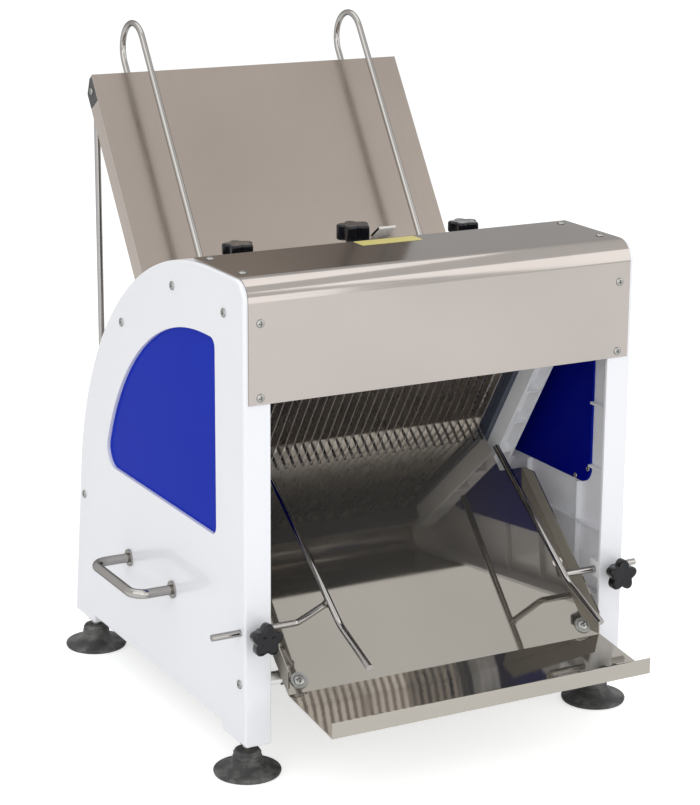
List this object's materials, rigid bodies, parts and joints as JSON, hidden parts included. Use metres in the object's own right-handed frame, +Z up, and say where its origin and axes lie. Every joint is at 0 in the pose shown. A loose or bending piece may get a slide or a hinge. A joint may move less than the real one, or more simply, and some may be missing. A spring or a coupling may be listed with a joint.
{
  "type": "bread slicer",
  "caption": "Table-top bread slicer: white side panels with blue windows, sloped infeed chute, reciprocating saw blade frames and a bent discharge tray with rod guides.",
  "frame": {"origin": "centre of the footprint, on the surface the feet stand on", "axes": "+Z up, +Y from the discharge side to the infeed side, +X to the right seen from the discharge side"},
  "size_m": [0.644, 0.7166, 0.8393],
  "materials": {
    "white_panel": "smooth gloss",
    "blue_window": "gloss",
    "screw_steel": "satin",
    "cover_steel": "satin",
    "chute_steel": "satin",
    "tray_steel": "polished",
    "chrome_rod": "polished",
    "black_knob": "gloss",
    "black_bracket": "matte",
    "rod_steel": "satin",
    "column_white": "matte",
    "blade_steel": "satin",
    "frame_grey": "satin",
    "drive_steel": "machined",
    "pulley_iron": "as cast",
    "belt_rubber": "matte",
    "motor_paint": "satin",
    "foot_rubber": "matte",
    "switch_black": "matte",
    "start_green": "gloss",
    "stop_red": "gloss"
  },
  "bodies": {
    "machine": {"left_side_panel": "white_panel", "right_side_panel": "white_panel", "left_window_plate": "blue_window", "right_window_plate": "blue_window", "window_screws": "screw_steel", "panel_screws": "screw_steel", "cover_screws": "screw_steel", "tray_screws": "screw_steel", "top_cover": "cover_steel", "rear_cover": "cover_steel", "infeed_chute": "chute_steel", "discharge_tray": "tray_steel", "left_handle": "chrome_rod", "right_handle": "chrome_rod", "chute_brackets": "black_bracket", "stay_brackets": "black_bracket", "stay_rods": "rod_steel", "tie_rods": "rod_steel", "foot_studs": "rod_steel", "infeed_bar": "rod_steel", "tray_brackets": "rod_steel", "left_guide_column": "column_white", "right_guide_column": "column_white", "bearing_blocks": "pulley_iron", "drive_belt": "belt_rubber", "motor": "motor_paint", "motor_plate": "motor_paint", "feet": "foot_rubber", "switch_box": "switch_black"},
    "front_frame": {"front_upper_bar": "frame_grey", "front_lower_bar": "frame_grey", "front_frame_rails": "frame_grey", "front_blades": "blade_steel", "front_blade_clips": "frame_grey"},
    "rear_frame": {"rear_upper_bar": "frame_grey", "rear_lower_bar": "frame_grey", "rear_frame_rails": "frame_grey", "rear_blades": "blade_steel", "rear_blade_clips": "frame_grey"},
    "crank": {"crankshaft": "drive_steel", "driven_pulley": "pulley_iron"},
    "front_rods": {"front_conrods": "drive_steel", "front_wrist_pins": "drive_steel"},
    "rear_rods": {"rear_conrods": "drive_steel", "rear_wrist_pins": "drive_steel"},
    "motor_rotor": {"motor_shaft": "drive_steel", "motor_pulley": "pulley_iron"},
    "left_infeed_guide_body": {"left_infeed_guide": "chrome_rod"},
    "right_infeed_guide_body": {"right_infeed_guide": "chrome_rod"},
    "left_infeed_knob_body": {"left_infeed_knob": "black_knob"},
    "right_infeed_knob_body": {"right_infeed_knob": "black_knob"},
    "height_stop_body": {"height_stop": "rod_steel"},
    "height_stop_knob_body": {"height_stop_knob": "black_knob"},
    "left_discharge_guide_body": {"left_discharge_guide": "chrome_rod"},
    "right_discharge_guide_body": {"right_discharge_guide": "chrome_rod"},
    "left_clamp_knob_body": {"left_clamp_knob": "black_knob"},
    "right_clamp_knob_body": {"right_clamp_knob": "black_knob"},
    "start_button_body": {"start_button": "start_green"},
    "stop_button_body": {"stop_button": "stop_red"}
  },
  "joints": [
    {"name": "front_frame_stroke", "type": "slide", "parent": "machine", "child": "front_frame", "axis": [0, -0.5446, 0.8387], "range_m": [-0.03, 0]},
    {"name": "rear_frame_stroke", "type": "slide", "parent": "machine", "child": "rear_frame", "axis": [0, -0.5446, 0.8387], "range_m": [0, 0.03]},
    {"name": "crank_spin", "type": "hinge", "parent": "machine", "child": "crank", "pos_m": [0, 0.11552, 0.14556], "axis": [1, 0, 0], "continuous": true},
    {"name": "front_rod_turn", "type": "hinge", "parent": "crank", "child": "front_rods", "pos_m": [0, 0.10734, 0.15814], "axis": [1, 0, 0], "continuous": true},
    {"name": "rear_rod_turn", "type": "hinge", "parent": "crank", "child": "rear_rods", "pos_m": [0, 0.12369, 0.13298], "axis": [1, 0, 0], "continuous": true},
    {"name": "motor_spin", "type": "hinge", "parent": "machine", "child": "motor_rotor", "pos_m": [0, 0.23552, 0.137], "axis": [1, 0, 0], "continuous": true},
    {"name": "left_infeed_guide_slide", "type": "slide", "parent": "machine", "child": "left_infeed_guide_body", "axis": [1, 0, 0], "range_m": [-0.039, 0.1]},
    {"name": "right_infeed_guide_slide", "type": "slide", "parent": "machine", "child": "right_infeed_guide_body", "axis": [-1, 0, 0], "range_m": [-0.039, 0.09]},
    {"name": "left_infeed_knob_turn", "type": "hinge", "parent": "left_infeed_guide_body", "child": "left_infeed_knob_body", "pos_m": [-0.16, 0.00373, 0.546], "axis": [0, 0, 1], "range_deg": [0, 270]},
    {"name": "right_infeed_knob_turn", "type": "hinge", "parent": "right_infeed_guide_body", "child": "right_infeed_knob_body", "pos_m": [0.16, 0.00373, 0.546], "axis": [0, 0, 1], "range_deg": [0, 270]},
    {"name": "height_stop_slide", "type": "slide", "parent": "machine", "child": "height_stop_body", "axis": [0, -1, 0], "range_m": [-0.006, 0.006]},
    {"name": "height_stop_knob_turn", "type": "hinge", "parent": "machine", "child": "height_stop_knob_body", "pos_m": [0, 0.00373, 0.546], "axis": [0, 0, 1], "range_deg": [0, 270]},
    {"name": "left_discharge_guide_slide", "type": "slide", "parent": "machine", "child": "left_discharge_guide_body", "axis": [1, 0, 0], "range_m": [-0.026, 0.035]},
    {"name": "right_discharge_guide_slide", "type": "slide", "parent": "machine", "child": "right_discharge_guide_body", "axis": [-1, 0, 0], "range_m": [-0.034, 0.025]},
    {"name": "left_clamp_knob_turn", "type": "hinge", "parent": "machine", "child": "left_clamp_knob_body", "pos_m": [-0.248, -0.22629, 0.186], "axis": [0, -1, 0], "range_deg": [0, 270]},
    {"name": "right_clamp_knob_turn", "type": "hinge", "parent": "machine", "child": "right_clamp_knob_body", "pos_m": [0.248, -0.22629, 0.186], "axis": [0, -1, 0], "range_deg": [0, 270]},
    {"name": "start_press", "type": "slide", "parent": "machine", "child": "start_button_body", "axis": [-1, 0, 0], "range_m": [0, 0.004], "stiffness_N_per_m": 400},
    {"name": "stop_press", "type": "slide", "parent": "machine", "child": "stop_button_body", "axis": [-1, 0, 0], "range_m": [0, 0.004], "stiffness_N_per_m": 400}
  ],
  "couplings": [
    {"joint": "rear_frame_stroke", "follows": "front_frame_stroke", "ratio": -1},
    {"joint": "front_rod_turn", "follows": "crank_spin", "ratio": -1},
    {"joint": "rear_rod_turn", "follows": "crank_spin", "ratio": -1},
    {"joint": "motor_spin", "follows": "crank_spin", "ratio": 2.1912}
  ]
}
